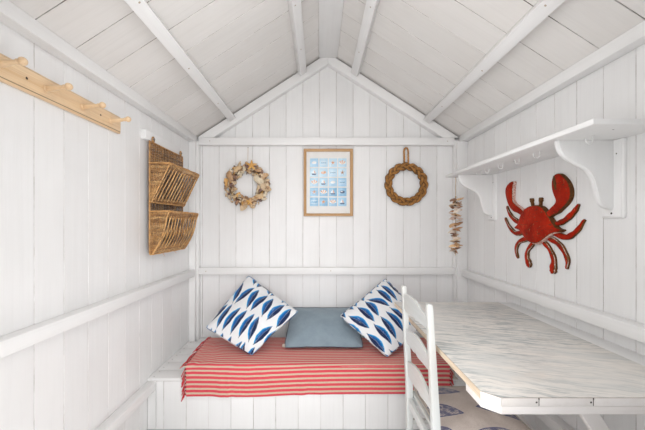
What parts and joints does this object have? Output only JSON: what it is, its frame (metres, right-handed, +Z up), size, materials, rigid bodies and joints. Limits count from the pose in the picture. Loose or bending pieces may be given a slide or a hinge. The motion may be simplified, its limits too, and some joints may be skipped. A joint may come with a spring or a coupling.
{
  "type": "beach hut",
  "caption": "Small timber beach hut with a pitched boarded roof, open double doors, a locker bench with cushions, a wall table, a shelf and a chair.",
  "frame": {"origin": "centre of the plan, on the underside of the middle floor bearer", "axes": "+Z up, +Y from the doorway to the back wall, +X to the right when looking in"},
  "size_m": [2.29, 3.1518, 2.6069],
  "materials": {
    "painted_wall_boards": "matt white paint, worn at the joints",
    "painted_frame": "satin white paint",
    "painted_roof_boards": "matt white paint",
    "painted_floor": "worn floor paint",
    "bare_bearers": "rough sawn, treated",
    "roofing_felt": "mineral surface",
    "painted_doors": "satin white paint",
    "black_iron": "satin black",
    "seat_cloth": "woven",
    "red_stripe_cloth": "woven stripes",
    "blue_print_cloth": "printed cotton",
    "linen_cloth": "printed linen",
    "grey_blue_cloth": "washed cotton",
    "table_laminate": "marble pattern laminate",
    "painted_table": "satin cream paint",
    "painted_shelf": "satin white paint",
    "white_hooks": "white coating",
    "pine": "clear varnish",
    "wicker": "natural willow",
    "shell": "natural shell",
    "jute": "plaited rope",
    "oak": "waxed oak",
    "red_paint": "distressed paint",
    "painted_chair": "satin white paint"
  },
  "bodies": {
    "root": {"floor_bearers": "bare_bearers", "floor_boards": "painted_floor", "door_sill": "painted_wall_boards", "back_wall": "painted_wall_boards", "left_wall": "painted_wall_boards", "right_wall": "painted_wall_boards", "front_wall_left": "painted_wall_boards", "front_wall_right": "painted_wall_boards", "front_wall_gable": "painted_wall_boards", "corner_posts": "painted_frame", "back_rails": "painted_frame", "front_rails": "painted_frame", "door_posts": "painted_frame", "side_mid_rails": "painted_frame", "side_lower_rails": "painted_frame", "eaves_plates": "painted_frame", "gable_plates": "painted_frame", "ridge_board": "painted_frame", "purlins": "painted_frame", "roof_boards": "painted_roof_boards", "roof_felt": "roofing_felt", "barge_boards": "painted_frame", "door_left": "painted_doors", "door_right": "painted_doors", "door_ledges": "painted_doors", "door_hinges": "black_iron", "bench_front": "painted_wall_boards", "bench_seat": "painted_frame", "bench_pad": "seat_cloth", "throw": "red_stripe_cloth", "cushion_left": "blue_print_cloth", "cushion_middle": "grey_blue_cloth", "cushion_right": "blue_print_cloth", "table_top": "table_laminate", "table_batten": "painted_table", "table_ledger": "painted_table", "table_struts": "painted_table", "shelf": "painted_shelf", "shelf_backplates": "painted_shelf", "shelf_brackets": "painted_shelf", "shelf_hooks": "white_hooks", "peg_rail": "pine", "pegs": "pine", "basket_batten": "painted_shelf", "wall_basket": "wicker", "wreath_shells": "shell", "wreath_rope": "jute", "picture_frame": "oak", "crab_plaque": "red_paint", "shell_string": "shell", "chair_posts": "painted_chair", "chair_rails": "painted_chair", "chair_seat": "painted_chair", "chair_cushion": "linen_cloth"}
  },
  "joints": []
}
